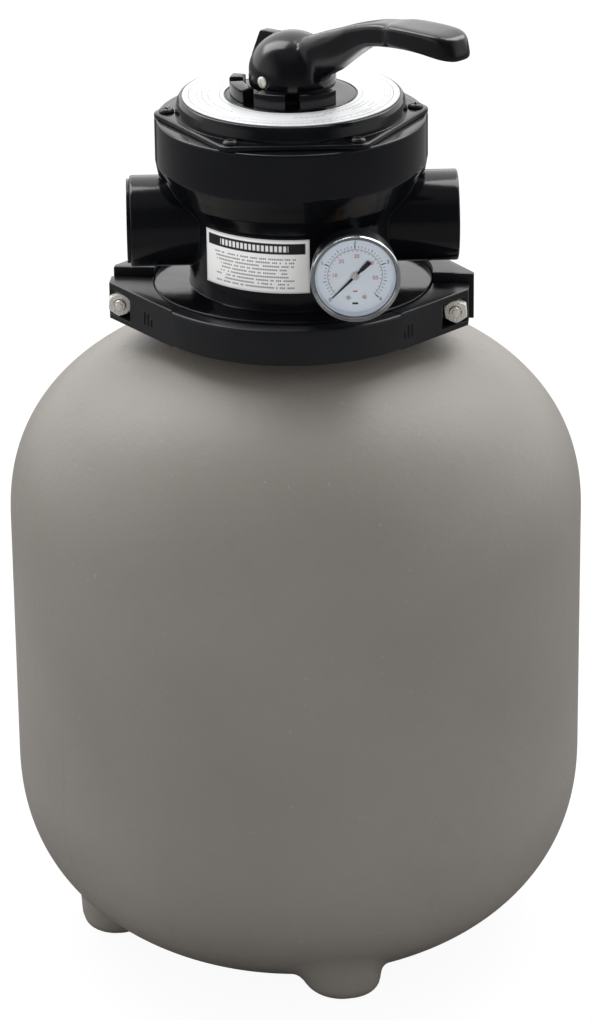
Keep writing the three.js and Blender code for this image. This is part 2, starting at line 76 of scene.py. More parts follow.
TANK_LOW, TANK_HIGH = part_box("tank_shell")
TANK_R = (TANK_HIGH - TANK_LOW).x / 2 / MM
GAUGE_LOW, GAUGE_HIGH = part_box("gauge_bezel")
GAUGE_CENTRE = (GAUGE_LOW + GAUGE_HIGH) / 2
JOINTS = {joint["name"]: joint for joint in frame["joints"]}
PIVOT_Z = JOINTS["handle_press"]["pos_m"][2] / MM
CLAMP_PLACE = turn(-7)
HANDLE_PLACE = turn(-45)
TO_FRONT = Matrix.Rotation(math.pi / 2, 4, "X")  # points a piece built along +Z at -Y
GAUGE_PLACE = Matrix.Translation((GAUGE_CENTRE.x, 0, GAUGE_CENTRE.z)) @ TO_FRONT


# ---- mesh helpers
def place(name, data):
    """A new object in the scene that shows `data`."""
    made = bpy.data.objects.new(name, data)
    bpy.context.scene.collection.objects.link(made)
    return made


def mesh_from(vertices, faces):
    mesh = bpy.data.meshes.new("mesh")
    mesh.from_pydata([tuple(v) for v in vertices], [], faces)
    tidy = bmesh.new()
    tidy.from_mesh(mesh)
    bmesh.ops.remove_doubles(tidy, verts=tidy.verts, dist=1e-6)
    bmesh.ops.dissolve_degenerate(tidy, edges=tidy.edges, dist=1e-7)
    bmesh.ops.recalc_face_normals(tidy, faces=tidy.faces)
    tidy.to_mesh(mesh)
    tidy.free()
    mesh.update()
    return mesh


def grid_faces(rows, columns, wrap_rows=False, wrap_columns=True):
    faces = []
    for i in range(rows if wrap_rows else rows - 1):
        for j in range(columns if wrap_columns else columns - 1):
            i2, j2 = (i + 1) % rows, (j + 1) % columns
            faces.append((i * columns + j, i * columns + j2, i2 * columns + j2, i2 * columns + j))
    return faces


def swept(r, z, angles):
    """Points [row, column] of a profile turned about Z to every angle in radians."""
    return np.stack([np.outer(r, np.cos(angles)), np.outer(r, np.sin(angles)),
                     np.repeat(z[:, None], len(angles), axis=1)], axis=-1)


def rounded(corners, steps=5):
    """A profile in mm from (r, z) or (r, z, fillet radius) corners, with each fillet drawn as an arc."""
    points = []
    for k, corner in enumerate(corners):
        here = Vector(corner[:2])
        if len(corner) == 2 or k in (0, len(corners) - 1):
            points.append(here)
            continue
        before = (Vector(corners[k - 1][:2]) - here).normalized()
        after = (Vector(corners[k + 1][:2]) - here).normalized()
        half = before.angle(after) / 2
        reach = corner[2] / math.tan(half)
        centre = here + (before + after).normalized() * (corner[2] / math.sin(half))
        start, end = here + before * reach, here + after * reach
        a, b = start - centre, end - centre
        sweep = a.angle_signed(b)
        for s in range(steps + 1):
            angle = -sweep * s / steps
            points.append(centre + Vector((a.x * math.cos(angle) - a.y * math.sin(angle),
                                           a.x * math.sin(angle) + a.y * math.cos(angle))))
    return [(p.x, p.y) for p in points]


def turned_mesh(profile, steps=RING_STEPS, loop=False, start=0.0, sweep=2 * math.pi):
    """A mesh turned about Z from a profile in mm. `loop` closes the profile on itself."""
    full = sweep == 2 * math.pi
    columns = steps if full else steps + 1
    r, z = np.array(profile).T * MM
    vertices = swept(r, z, start + sweep * np.arange(columns) / steps).reshape(-1, 3)
    rows = range(len(profile))
    faces = grid_faces(len(rows), columns, wrap_rows=loop, wrap_columns=full)
    if not full:
        faces.append(tuple(i * columns for i in rows))
        faces.append(tuple(i * columns + columns - 1 for i in reversed(rows)))
    return mesh_from(vertices, faces)


def rod_mesh(radius, low, high, steps=32):
    """A plain cylinder in mm along +Z."""
    return turned_mesh([(0, low), (radius, low), (radius, high), (0, high)], steps)


def slab_mesh(outline, low, high, edge=0.0, steps=4):
    """An outline in mm (counter-clockwise) raised from low to high, with its top edge rounded by `edge`."""
    points = np.array(outline, float)

    def unit(v):
        return v / np.maximum(np.linalg.norm(v, axis=1)[:, None], 1e-9)

    def leftwards(v):
        return np.stack([-v[:, 1], v[:, 0]], axis=1)

    ahead, behind = unit(np.roll(points, -1, axis=0) - points), unit(points - np.roll(points, 1, axis=0))
    inward = unit(leftwards(ahead + behind))
    inward /= np.maximum(0.5, (inward * leftwards(ahead)).sum(1))[:, None]
    rings = [(0, low)]
    for s in range(steps + 1 if edge else 1):
        angle = math.pi / 2 * s / steps
        rings.append((edge * (1 - math.cos(angle)), high - edge + edge * math.sin(angle)))
    vertices = np.concatenate([np.column_stack([points + inward * inset, np.full(len(points), z)])
                               for inset, z in rings]) * MM
    n = len(points)
    faces = grid_faces(len(rings), n)
    faces.append(tuple(reversed(range(n))))
    faces.append(tuple(range((len(rings) - 1) * n, len(rings) * n)))
    return mesh_from(vertices, faces)


def box_mesh(low, high):
    (x0, y0, z0), (x1, y1, z1) = low, high
    return slab_mesh([(x0, y0), (x1, y0), (x1, y1), (x0, y1)], z0, z1)


def tube_mesh(rows):
    """A closed tube through equal rings of points in metres, with flat ends."""
    count, columns = rows.shape[:2]
    faces = grid_faces(count, columns)
    faces += [tuple(reversed(range(columns))), tuple((count - 1) * columns + i for i in range(columns))]
    return mesh_from(rows.reshape(-1, 3), faces)


def moved(mesh, matrix):
    """The mesh moved by a matrix; a mirrored one keeps its faces pointing outwards."""
    mesh.transform(matrix)
    if matrix.determinant() < 0:
        mesh.flip_normals()
    return mesh


def evaluated_mesh(piece):
    """The mesh of a piece with its modifiers applied; the piece itself is removed."""
    graph = bpy.context.evaluated_depsgraph_get()
    result = bpy.data.meshes.new_from_object(piece.evaluated_get(graph))
    bpy.data.objects.remove(piece)
    return result


def combine(base, tools, operation):
    """The boolean of mesh `base` with every mesh in `tools`."""
    for tool in tools:
        body, cutter = place("base", base), place("tool", tool)
        modifier = body.modifiers.new("boolean", "BOOLEAN")
        modifier.operation = operation
        modifier.solver = "EXACT"
        modifier.object = cutter
        base = evaluated_mesh(body)
        bpy.data.objects.remove(cutter)
    return base


def remeshed(mesh, voxel, smoothing):
    """The mesh rebuilt as one even skin, with its inner corners softened as in a moulding."""
    body = place("skin", mesh)
    remesh = body.modifiers.new("remesh", "REMESH")
    remesh.mode = "VOXEL"
    remesh.voxel_size = voxel
    remesh.adaptivity = 0
    soften = body.modifiers.new("soften", "SMOOTH")
    soften.factor = 0.5
    soften.iterations = smoothing
    return evaluated_mesh(body)


def arc(radius, start, end, steps, centre=(0, 0)):
    """Points in mm on an arc; angles in degrees."""
    return [(centre[0] + radius * math.cos(math.radians(a)), centre[1] + radius * math.sin(math.radians(a)))
            for a in np.linspace(start, end, steps + 1)]


def sector_outline(inner, outer, start, end):
    steps = max(3, int(abs(end - start) / 3))
    return arc(outer, start, end, steps) + arc(inner, end, start, steps)


def spoke_place(azimuth, z):
    """Turns a piece built along +Z so that it points outwards at `azimuth` degrees, at height z in mm."""
    return shift(0, 0, z) @ turn(azimuth) @ Matrix.Rotation(math.pi / 2, 4, "Y")


def add_piece(name, mesh, sharp_angle, body, slot, *nodes, look=None):
    """Makes a mesh a named piece on a body with its finish, standing for the CAD nodes given."""
    mesh.materials.clear()
    mesh.materials.append(look or LOOKS[slot])
    mesh.shade_smooth()
    mesh.set_sharp_from_angle(angle=math.radians(sharp_angle))
    piece = place(name, mesh)
    if nodes:
        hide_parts(*nodes)
    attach(piece, body)
    return piece


# ---- materials
class Nodes:
    """A small builder for one node tree, working in a material's object space or in a world's directions."""

    def __init__(self, name, world=None):
        self.material = world or bpy.data.materials.new(name)
        self.material.use_nodes = True
        self.tree = self.material.node_tree
        self.shader = self.tree.nodes["Background" if world else "Principled BSDF"]
        self.place = self.add("ShaderNodeTexCoord").outputs["Generated" if world else "Object"]

    def put(self, socket, value):
        if isinstance(value, bpy.types.NodeSocket):
            self.tree.links.new(value, socket)
        elif value is not None:
            socket.default_value = value

    def add(self, kind, *values, **settings):
        """A new node with its settings, and with values or links for its first inputs."""
        node = self.tree.nodes.new(kind)
        for key, value in settings.items():
            setattr(node, key, value)
        for socket, value in zip(node.inputs, values):
            self.put(socket, value)
        return node

    def fill(self, node, **inputs):
        """Gives a node values or links for inputs by name, with _ for a space."""
        for key, value in inputs.items():
            self.put(node.inputs[key.replace("_", " ")], value)
        return node.outputs

    def dress(self, **inputs):
        """The material, with inputs of its shader filled."""
        self.fill(self.shader, **inputs)
        return self.material

    def noise(self, scale, detail=3.0, roughness=0.5, place=None):
        node = self.add("ShaderNodeTexNoise", place or self.place)
        return self.fill(node, Scale=scale, Detail=detail, Roughness=roughness)["Fac"]

    def stretched(self, scale):
        return self.fill(self.add("ShaderNodeMapping", self.place), Scale=scale)["Vector"]

    def math(self, operation, a, b=0.0):
        return self.add("ShaderNodeMath", a, b, operation=operation).outputs[0]

    def plus(self, a, b):
        return self.math("ADD", a, b)

    def times(self, a, b):
        return self.math("MULTIPLY", a, b)

    def larger(self, a, b):
        return self.math("MAXIMUM", a, b)

    def span(self, value, low, high, to_low, to_high, kind="LINEAR"):
        return self.add("ShaderNodeMapRange", value, low, high, to_low, to_high, clamp=True,
                        interpolation_type=kind).outputs[0]

    def mix(self, share, a, b, kind="RGBA"):
        return self.fill(self.add("ShaderNodeMix", data_type=kind), Factor=share, A=a, B=b)["Result"]

    def split(self, vector):
        return self.add("ShaderNodeSeparateXYZ", vector).outputs

    def bump(self, height, distance, strength=1.0, normal=None):
        node = self.add("ShaderNodeBump")
        return self.fill(node, Strength=strength, Distance=distance, Height=height, Normal=normal)["Normal"]

    def soft_edges(self, radius):
        return self.fill(self.add("ShaderNodeBevel", samples=6), Radius=radius)["Normal"]

    def blend(self, share, under, over):
        """Shows shader `over` by `share` and shader `under` otherwise."""
        mixer = self.add("ShaderNodeMixShader", share, under.outputs[0], over.outputs[0])
        self.put(self.tree.nodes["Material Output"].inputs["Surface"], mixer.outputs[0])

    def band(self, value, low, high, blur):
        """1 where value lies between low and high, with edges `blur` wide."""
        half = blur / 2
        return self.times(self.span(value, low - half, low + half, 0, 1),
                          self.span(value, high - half, high + half, 1, 0))

    def cells(self, value, count):
        """(whole cell number, place within the cell from 0 to 1) of value * count."""
        scaled = self.times(value, count)
        return self.math("FLOOR", scaled), self.math("FRACT", scaled)

    def chance(self, a, b):
        """A repeatable random level from 0 to 1 for each pair of cell numbers."""
        pair = self.add("ShaderNodeCombineXYZ", a, b).outputs[0]
        return self.add("ShaderNodeTexWhiteNoise", pair, noise_dimensions="2D").outputs["Value"]


def rgb(*levels):
    """A linear colour from three 0-255 screen levels."""
    def linear(level):
        c = level / 255
        return c / 12.92 if c <= 0.04045 else ((c + 0.055) / 1.055) ** 2.4
    return (*[linear(level) for level in levels], 1.0)


def brighter(levels, rise):
    return [min(255, v + rise) for v in levels]


def tank_material():
    n = Nodes("tank_plastic")
    cloud = n.noise(7, 4, 0.55)
    drift = n.noise(28, 5, 0.6)
    tone = n.mix(n.span(cloud, 0.35, 0.65, 0, 1), rgb(117, 112.5, 106.5), rgb(123, 118.5, 112.5))
    tone = n.mix(n.span(drift, 0.55, 0.75, 0, 0.35), tone, rgb(113, 109, 104))
    speck = n.noise(300, 1, 0.4)
    tone = n.mix(n.span(speck, 0.76, 0.79, 0, 0.25), tone, rgb(158, 154, 149))
    scuff = n.noise(1, 3, 0.5, n.stretched((120, 120, 9)))
    rough = n.plus(n.span(cloud, 0.3, 0.7, 0.43, 0.5), n.span(scuff, 0.62, 0.72, 0, 0.08))
    peel = n.noise(620, 2, 0.55)
    leather = n.noise(210, 3, 0.6)
    wave = n.bump(n.noise(14, 2, 0.5), 0.0025, 0.35)
    normal = n.bump(n.plus(n.times(peel, 0.5), leather), 0.00028, 0.6, wave)
    return n.dress(Base_Color=tone, Roughness=rough, Normal=normal, IOR=1.47)


def black_plastic(name, level, roughness, grain, edge, wave=0.0, shine=0.5):
    n = Nodes(name)
    cloud = n.noise(18, 4, 0.55)
    low, high = rgb(level - 3, level - 2, level + 1), rgb(level + 2, level + 3, level + 6)
    tone = n.mix(n.span(cloud, 0.35, 0.65, 0, 1), low, high)
    dust = n.noise(900, 2, 0.6)
    tone = n.mix(n.span(dust, 0.73, 0.8, 0, 0.25), tone, rgb(120, 120, 122))
    rub = n.noise(1, 4, 0.6, n.stretched((60, 60, 420)))
    rough = n.span(cloud, 0.3, 0.7, roughness - 0.03, roughness + 0.04)
    rough = n.plus(rough, n.span(rub, 0.6, 0.75, 0, 0.05))
    normal = n.soft_edges(edge)
    if wave:
        normal = n.bump(n.noise(45, 2, 0.5), wave, 0.5, normal)
    normal = n.bump(n.noise(1500, 2, 0.5), grain, 0.5, normal)
    return n.dress(Base_Color=tone, Roughness=rough, Normal=normal, IOR=1.5, Specular_IOR_Level=shine)


def metal(name, levels, roughness, brushed=(900, 60, 60), metallic=1.0):
    n = Nodes(name)
    lines = n.noise(1, 3, 0.6, n.stretched(brushed))
    cloud = n.noise(60, 3, 0.5)
    return n.dress(Base_Color=n.mix(n.span(cloud, 0.35, 0.7, 0, 1), rgb(*levels), rgb(*brighter(levels, 14))),
                   Roughness=n.span(lines, 0.3, 0.7, roughness - 0.06, roughness + 0.08), Metallic=metallic,
                   Normal=n.bump(lines, 0.00004, 0.5, n.soft_edges(0.0003)))


def rubber_material():
    n = Nodes("seal_rubber")
    cloud = n.noise(90, 3, 0.6)
    return n.dress(Base_Color=n.mix(cloud, rgb(20, 20, 20), rgb(34, 34, 34)),
                   Roughness=n.span(cloud, 0.3, 0.7, 0.7, 0.9), Normal=n.bump(n.noise(1400), 0.00008, 0.5))


def pipe_material():
    n = Nodes("pipe_plastic")
    cloud = n.noise(24, 4, 0.5)
    rings = n.noise(1, 2, 0.5, n.stretched((40, 40, 500)))
    return n.dress(Base_Color=n.mix(cloud, rgb(206, 206, 203), rgb(222, 222, 219)),
                   Roughness=n.span(cloud, 0.3, 0.7, 0.4, 0.55), Normal=n.bump(rings, 0.0001, 0.4))


def lens_material():
    n = Nodes("lens_clear")
    gloss = n.add("ShaderNodeBsdfGlossy")
    n.fill(gloss, Roughness=n.span(n.noise(40, 4, 0.6), 0.4, 0.7, 0.03, 0.12),
           Normal=n.bump(n.noise(25, 2, 0.5), 0.0002, 0.3))
    fresnel = n.fill(n.add("ShaderNodeFresnel"), IOR=1.45)[0]
    n.blend(n.times(fresnel, 0.8), n.add("ShaderNodeBsdfTransparent"), gloss)
    return n.material


def printed_film(n, ink, ink_tone, base):
    """Finishes a printed label: `ink` is where it is dark."""
    paper = n.mix(n.noise(60, 3, 0.5), rgb(*base), rgb(*brighter(base, 8)))
    return n.dress(Base_Color=n.mix(ink, paper, ink_tone),
                   Roughness=n.span(n.noise(35, 3, 0.5), 0.3, 0.7, 0.28, 0.4),
                   Normal=n.bump(n.noise(55, 2, 0.5), 0.00025, 0.25))


def disc_label_material():
    """White ring film with a grey rim, three fine rings and short arcs of small dashes standing for print."""
    n = Nodes("disc_label")
    x, y, _ = n.split(n.place)
    radius = n.math("SQRT", n.plus(n.times(x, x), n.times(y, y)))
    around = n.plus(n.math("DIVIDE", n.math("ARCTAN2", y, x), 2 * math.pi), 0.5)
    line = 0.25 * MM
    ink = n.times(n.math("GREATER_THAN", radius, 64.2 * MM), 0.6)
    for inner, outer, strength in ((60.6, 61.1, 1), (55.6, 56.0, 0.8), (42.2, 42.6, 0.8)):
        ink = n.larger(ink, n.times(n.band(radius, inner * MM, outer * MM, line), strength))
    rows = [(57.0, 58.0, 150), (58.7, 59.6, 150), (52.0, 53.6, 110), (45.6, 47.0, 96), (48.6, 49.8, 96)]
    for row, (inner, outer, count) in enumerate(rows):
        letter, part_way = n.cells(around, count)
        word, _ = n.cells(around, count / 6)
        gaps = 0.46 if row > 1 else 0.34
        lettered = n.span(n.chance(letter, float(row)), 0.16, 0.17, 0, 1)
        present = n.span(n.chance(word, row + 20.0), gaps, gaps + 0.01, 0, 1)
        dash = n.times(n.times(n.band(part_way, 0.12, 0.82, 0.1), lettered), present)
        dash = n.times(dash, n.band(radius, inner * MM, outer * MM, line))
        ink = n.larger(ink, n.times(dash, 0.55))
    return printed_film(n, ink, rgb(70, 70, 74), (189, 190, 191))


def body_label_material():
    """White film with a dark heading band and rows of small dashes standing for print."""
    n = Nodes("body_label_film")
    u, v, _ = n.split(n.add("ShaderNodeUVMap", uv_map="label").outputs[0])

    def panel(left, right, low, high, blur_u, blur_v):
        return n.times(n.band(u, left, right, blur_u), n.band(v, low, high, blur_v))

    _, part_way = n.cells(u, 26)
    blocks = n.times(n.band(part_way, 0.18, 0.84, 0.08), panel(0.18, 0.82, 0.775, 0.885, 0.004, 0.012))
    heading = n.math("SUBTRACT", panel(0.035, 0.965, 0.73, 0.93, 0.006, 0.012), n.times(blocks, 0.9))
    row, row_way = n.cells(v, 15)
    letter, letter_way = n.cells(u, 62)
    margin = n.span(n.chance(row, 3.0), 0, 1, 0.02, 0.16)
    text = n.times(n.band(letter_way, 0.12, 0.82, 0.1), n.band(row_way, 0.28, 0.74, 0.1))
    for limit in (n.span(n.chance(letter, row), 0.17, 0.18, 0, 1), n.band(v, 0.07, 0.66, 0.01),
                  n.math("GREATER_THAN", u, n.plus(margin, 0.05)),
                  n.math("LESS_THAN", u, n.math("SUBTRACT", 0.95, margin))):
        text = n.times(text, limit)
    border = n.math("SUBTRACT", 1.0, panel(0.012, 0.988, 0.03, 0.97, 0.004, 0.01))
    ink = n.larger(n.larger(heading, n.times(text, 0.8)), n.times(border, 0.25))
    return printed_film(n, ink, rgb(26, 26, 28), (236, 236, 235))


def printed_metal(name, levels, roughness=0.4):
    n = Nodes(name)
    cloud = n.noise(120, 3, 0.5)
    return n.dress(Base_Color=n.mix(cloud, rgb(*levels), rgb(*brighter(levels, 6))),
                   Roughness=n.span(cloud, 0.3, 0.7, roughness - 0.05, roughness + 0.05),
                   Normal=n.bump(n.noise(700, 2, 0.5), 0.00005, 0.3))


LOOKS = {
    "tank_plastic": tank_material(),
    "valve_plastic": black_plastic("valve_plastic", 12, 0.12, 0.000012, 0.0009, wave=0.0005, shine=0.4),
    "handle_plastic": black_plastic("handle_plastic", 12, 0.2, 0.00002, 0.0006, wave=0.0003),
    "clamp_plastic": black_plastic("clamp_plastic", 19, 0.3, 0.00004, 0.0007, wave=0.0003),
    "screw_black": black_plastic("screw_black", 13, 0.3, 0.00003, 0.0003),
    "rotor_plastic": black_plastic("rotor_plastic", 24, 0.4, 0.00005, 0.0005),
    "stainless_steel": metal("stainless_steel", (226, 222, 214), 0.28, metallic=0.5),
    "bezel_chrome": metal("bezel_chrome", (196, 198, 202), 0.14, brushed=(60, 900, 60), metallic=0.95),
    "gauge_brass": metal("gauge_brass", (168, 138, 88), 0.3),
    "seal_rubber": rubber_material(),
    "pipe_plastic": pipe_material(),
    "lens_clear": lens_material(),
    "label_white": disc_label_material(),
    "dial_white": printed_metal("dial_white", (234, 242, 254), 0.35),
    "needle_black": printed_metal("needle_black", (18, 20, 26), 0.3),
}
BODY_FILM = body_label_material()
DIAL_BLACK = printed_metal("dial_black", (22, 22, 24))
DIAL_RED = printed_metal("dial_red", (188, 40, 44))


def dress_cad_nodes():
    """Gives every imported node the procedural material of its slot."""
    for entry in frame["record"]["subparts"]:
        node = frame["nodes"][entry["node"]]
        node.data.materials.clear()
        node.data.materials.append(LOOKS[entry["material_slot"]])


# ---- tank
DOME_TOP = {"start": 272.8, "height": 123.1, "power": 2.29}
DOME_BOTTOM = {"start": 117.0, "height": 133.4, "power": 2.3}
TANK_COLUMNS = 360
NECK_R = 68
WALL = 5
BASE = {"rim": 108, "edge": 9, "hollow": 13}  # the base rises towards its middle inside the rim's radius
FOOT = {"ring": 119, "azimuths": (-78.6, 11.4, 101.4, 191.4), "radius": 21, "edge": 8, "blend": 7,
        "lean": 0.45}


def base_distance(r, z):
    """Rough signed distance in mm from the lower half of the tank, without its feet."""
    start, height, power = DOME_BOTTOM["start"], DOME_BOTTOM["height"], DOME_BOTTOM["power"]
    drop = np.maximum(start - z, 0)
    level = (r / TANK_R) ** power + (drop / height) ** power
    scale = np.maximum(np.hypot(r, drop), 1e-6)
    body = scale * (1 - 1 / np.maximum(level, 1e-9) ** (1 / power))
    recess = BASE["edge"] + BASE["hollow"] * np.clip(1 - (r / BASE["rim"]) ** 2, 0, 1) - z
    return np.maximum(body, recess)


def foot_distance(x, y, z, azimuth):
    """Signed distance in mm from one rounded foot stub that runs up into the tank."""
    a = math.radians(azimuth)
    px = x * math.cos(a) + y * math.sin(a) - FOOT["ring"]
    py = -x * math.sin(a) + y * math.cos(a)
    lean = FOOT["lean"] * np.maximum(z, 0)
    side = np.hypot(px, np.maximum(np.abs(py) - 1 - lean * (py < 0), 0))
    side = side - (FOOT["radius"] - FOOT["edge"])
    under = FOOT["edge"] - z
    both = np.hypot(np.maximum(side, 0), np.maximum(under, 0)) + np.minimum(np.maximum(side, under), 0)
    return both - FOOT["edge"]


def smooth_min(a, b, blend):
    """The smaller of two distances, with the corner between them rounded over `blend` mm."""
    share = np.clip(0.5 + 0.5 * (b - a) / blend, 0, 1)
    return b * (1 - share) + a * share - blend * share * (1 - share)


def tank_distance(points):
    """Rough signed distance in mm from the lower half of the tank with its feet."""
    x, y, z = points[..., 0], points[..., 1], points[..., 2]
    result = base_distance(np.hypot(x, y), z)
    for azimuth in FOOT["azimuths"]:
        result = smooth_min(result, foot_distance(x, y, z, azimuth), FOOT["blend"])
    return np.maximum(result, -z)


def lower_tank_rows(angles, rows):
    """Vertex rows in mm from the waist down to the middle of the base, found along rays from the waist."""
    share = np.linspace(0, 1, rows)
    dip = np.pi / 2 * (share * 0.86 + 0.14 * share ** 2)
    direction = swept(np.cos(dip), -np.sin(dip), angles)
    centre = np.array([0, 0, DOME_BOTTOM["start"]])
    low = np.full(direction.shape[:2], 235.0)
    high = low.copy()
    found = np.zeros_like(low, bool)
    step = 2.0
    while not found.all() and low.min() > 60:
        found |= tank_distance(centre + direction * low[..., None]) <= 0
        high[~found] = low[~found]
        low[~found] -= step
    for _ in range(14):
        middle = (low + high) / 2
        inside = tank_distance(centre + direction * middle[..., None]) <= 0
        low, high = np.where(inside, middle, low), np.where(inside, high, middle)
    return centre + direction * low[..., None]


def make_tank():
    angles = 2 * np.pi * np.arange(TANK_COLUMNS) / TANK_COLUMNS
    start, height, power = DOME_TOP["start"], DOME_TOP["height"], DOME_TOP["power"]
    end = math.acos((NECK_R / TANK_R) ** (power / 2))
    shoulder = [(TANK_R * math.cos(end * s) ** (2 / power), start + height * math.sin(end * s) ** (2 / power))
                for s in np.linspace(0, 1, 60)]
    lip = 406.8
    neck = rounded([(NECK_R, 399), (84, 399, 0.8), (84, lip, 0.8), (72.8, lip), (72.8, 402.4),
                    (67.2, 402.4), (67.2, lip), (60, lip, 1.0), (60, 392)])
    inner = [(max(60, r - WALL), z - WALL * (k / len(shoulder))) for k, (r, z) in enumerate(shoulder)]
    inner = [(r, z) for r, z in reversed(inner) if z < 386]
    inner_r = TANK_R - WALL
    start, depth, power = DOME_BOTTOM["start"], 103, DOME_BOTTOM["power"]
    under = [(inner_r, start + 3)]
    under += [(inner_r * math.cos(a) ** (2 / power), start - depth * math.sin(a) ** (2 / power))
              for a in np.linspace(0.05, math.pi / 2, 24)]
    under[-1] = (0, under[-1][1] + 12)
    waist = [(TANK_R, z) for z in np.linspace(DOME_BOTTOM["start"] + 6, DOME_TOP["start"] - 6, 24)]
    r, z = np.array(waist + shoulder + neck + inner + under).T
    rows = np.concatenate([lower_tank_rows(angles, 190)[::-1], swept(r, z, angles)]) * MM
    mesh = mesh_from(rows.reshape(-1, 3), grid_faces(len(rows), TANK_COLUMNS))
    add_piece("tank", mesh, 50, "root", "tank_plastic", "tank_shell")


# ---- clamp
CLAMP_R = 90
OPENING = {"r": 79.5, "widen": 1.06}
FRONT_WING = {"reach": 108.2, "thick": 12.3, "low": 397.2, "top": 420}
BACK_WING = {"reach": 108.8, "thick": 5.2, "low": 397.2, "top": 425.3}
FRONT_SHIFT = -2.0  # the bolts and the front half's wings sit this far to the left of the axis
BOLT = {"x": 101, "z": 408, "r": 3.3, "across": 13}


def wing_plan(wing, reach):
    """Outline of a wing on the right, whose straight wall runs on from the clamp's round wall."""
    thick = wing["thick"]
    angle = math.atan2(thick, reach) + math.acos(CLAMP_R / math.hypot(reach, thick))
    tangent = (CLAMP_R * math.cos(angle), CLAMP_R * math.sin(angle))
    return [(60, 0.7), (reach, 0.7), *arc(1.5, 0, 50, 4, (reach - 1.5, thick - 1.0)), tangent, (45, 40)]


def clamp_half(name, node, side):
    """One half of the flange clamp; side is -1 for the front half and 1 for the back half."""
    wing, offset = (FRONT_WING, FRONT_SHIFT) if side < 0 else (BACK_WING, 0)
    low, top = 397.5, 419.4
    profile = rounded([(60, 408), (60, low), (CLAMP_R, low, 1.2), (CLAMP_R, top, 1.4), (60, top), (60, 408)])
    half = turned_mesh(profile[:-1], 120, loop=True, start=math.radians(0.45), sweep=math.radians(179.1))
    ears = []
    for direction in (1, -1):
        reach = wing["reach"] + direction * offset
        bolt_x = BOLT["x"] + direction * offset
        ear = slab_mesh(wing_plan(wing, reach), wing["low"], wing["top"], edge=0.9)
        pocket = box_mesh((bolt_x - 7.4, wing["thick"], BOLT["z"] - 7.8), (reach + 3, 60, BOLT["z"] + 7.8))
        ears.append(moved(combine(ear, [pocket], "DIFFERENCE"), Matrix.Diagonal((direction, 1, 1, 1))))
    solid = combine(half, ears, "UNION")
    groove = turned_mesh([(0, 390), (77, 390), (77, 399.2), (84.6, 399.2), (84.6, 413.8),
                          (OPENING["r"], 413.8), (OPENING["r"], 430), (0, 430)], 160)
    tools = [moved(groove, Matrix.Diagonal((OPENING["widen"], 1, 1, 1)))]
    for direction in (-1, 1):
        at = shift(direction * BOLT["x"] + offset, 0, BOLT["z"]) @ TO_FRONT
        tools.append(moved(rod_mesh(4.4, -20, 20), at))
    solid = moved(combine(solid, tools, "DIFFERENCE"), CLAMP_PLACE @ Matrix.Diagonal((1, side, 1, 1)))
    add_piece(name, solid, 30, "root", "clamp_plastic", node)


def merged(meshes):
    """Several meshes as one."""
    vertices, faces = [], []
    for mesh in meshes:
        base = len(vertices)
        vertices += [tuple(v.co) for v in mesh.vertices]
        faces += [tuple(base + i for i in face.vertices) for face in mesh.polygons]
    result = bpy.data.meshes.new("merged")
    result.from_pydata(vertices, [], faces)
    result.update()
    return result


def clamp_marks():
    """Small raised bars moulded on the front half, one group near each ear."""
    bars = []
    for direction, start in ((-1, 0.44), (1, 0.16)):
        corner, tangent = wing_plan(FRONT_WING, FRONT_WING["reach"] + direction * FRONT_SHIFT)[-3:-1]
        wall = Vector(corner) - Vector(tangent)
        facing = math.degrees(math.atan2(wall.x, -wall.y))
        for k, height in enumerate((8, 8, 5)):
            at = Vector(tangent) + wall * (start - 0.055 * k)
            bar = box_mesh((-0.5, -0.6, 403.5), (0.4, 0.6, 403.5 + height))
            mirror = Matrix.Diagonal((direction, -1, 1, 1))
            bars.append(moved(bar, CLAMP_PLACE @ mirror @ shift(at.x, at.y) @ turn(90 - facing)))
    add_piece("clamp_marks", merged(bars), 32, "root", "clamp_plastic")


def chamfered_hexagon(low, high, both_ends=False):
    """A hexagon prism with its corners turned down at the upper end, and at the lower end too if asked."""
    corner = BOLT["across"] / math.sqrt(3)
    small, wide, drop = corner - 1.1, corner + 0.2, 0.9
    profile = [(0, low), (small if both_ends else wide, low), (wide, low + drop), (wide, high - drop),
               (small, high), (0, high)]
    return combine(slab_mesh(arc(corner, 0, 300, 5), low, high), [turned_mesh(profile, 96)], "INTERSECT")


def thread_mesh(radius, low, high, pitch, sides=40):
    """A ridged rod standing for a thread, with a domed end at `high`."""
    rows = [(0, low)]
    z = low
    while z < high - 1.2:
        rows += [(radius - 0.42, z), (radius, z + pitch / 2)]
        z += pitch
    return turned_mesh(rows + [(radius - 0.8, high - 1.0), (radius - 1.6, high - 0.3), (0, high)], sides)


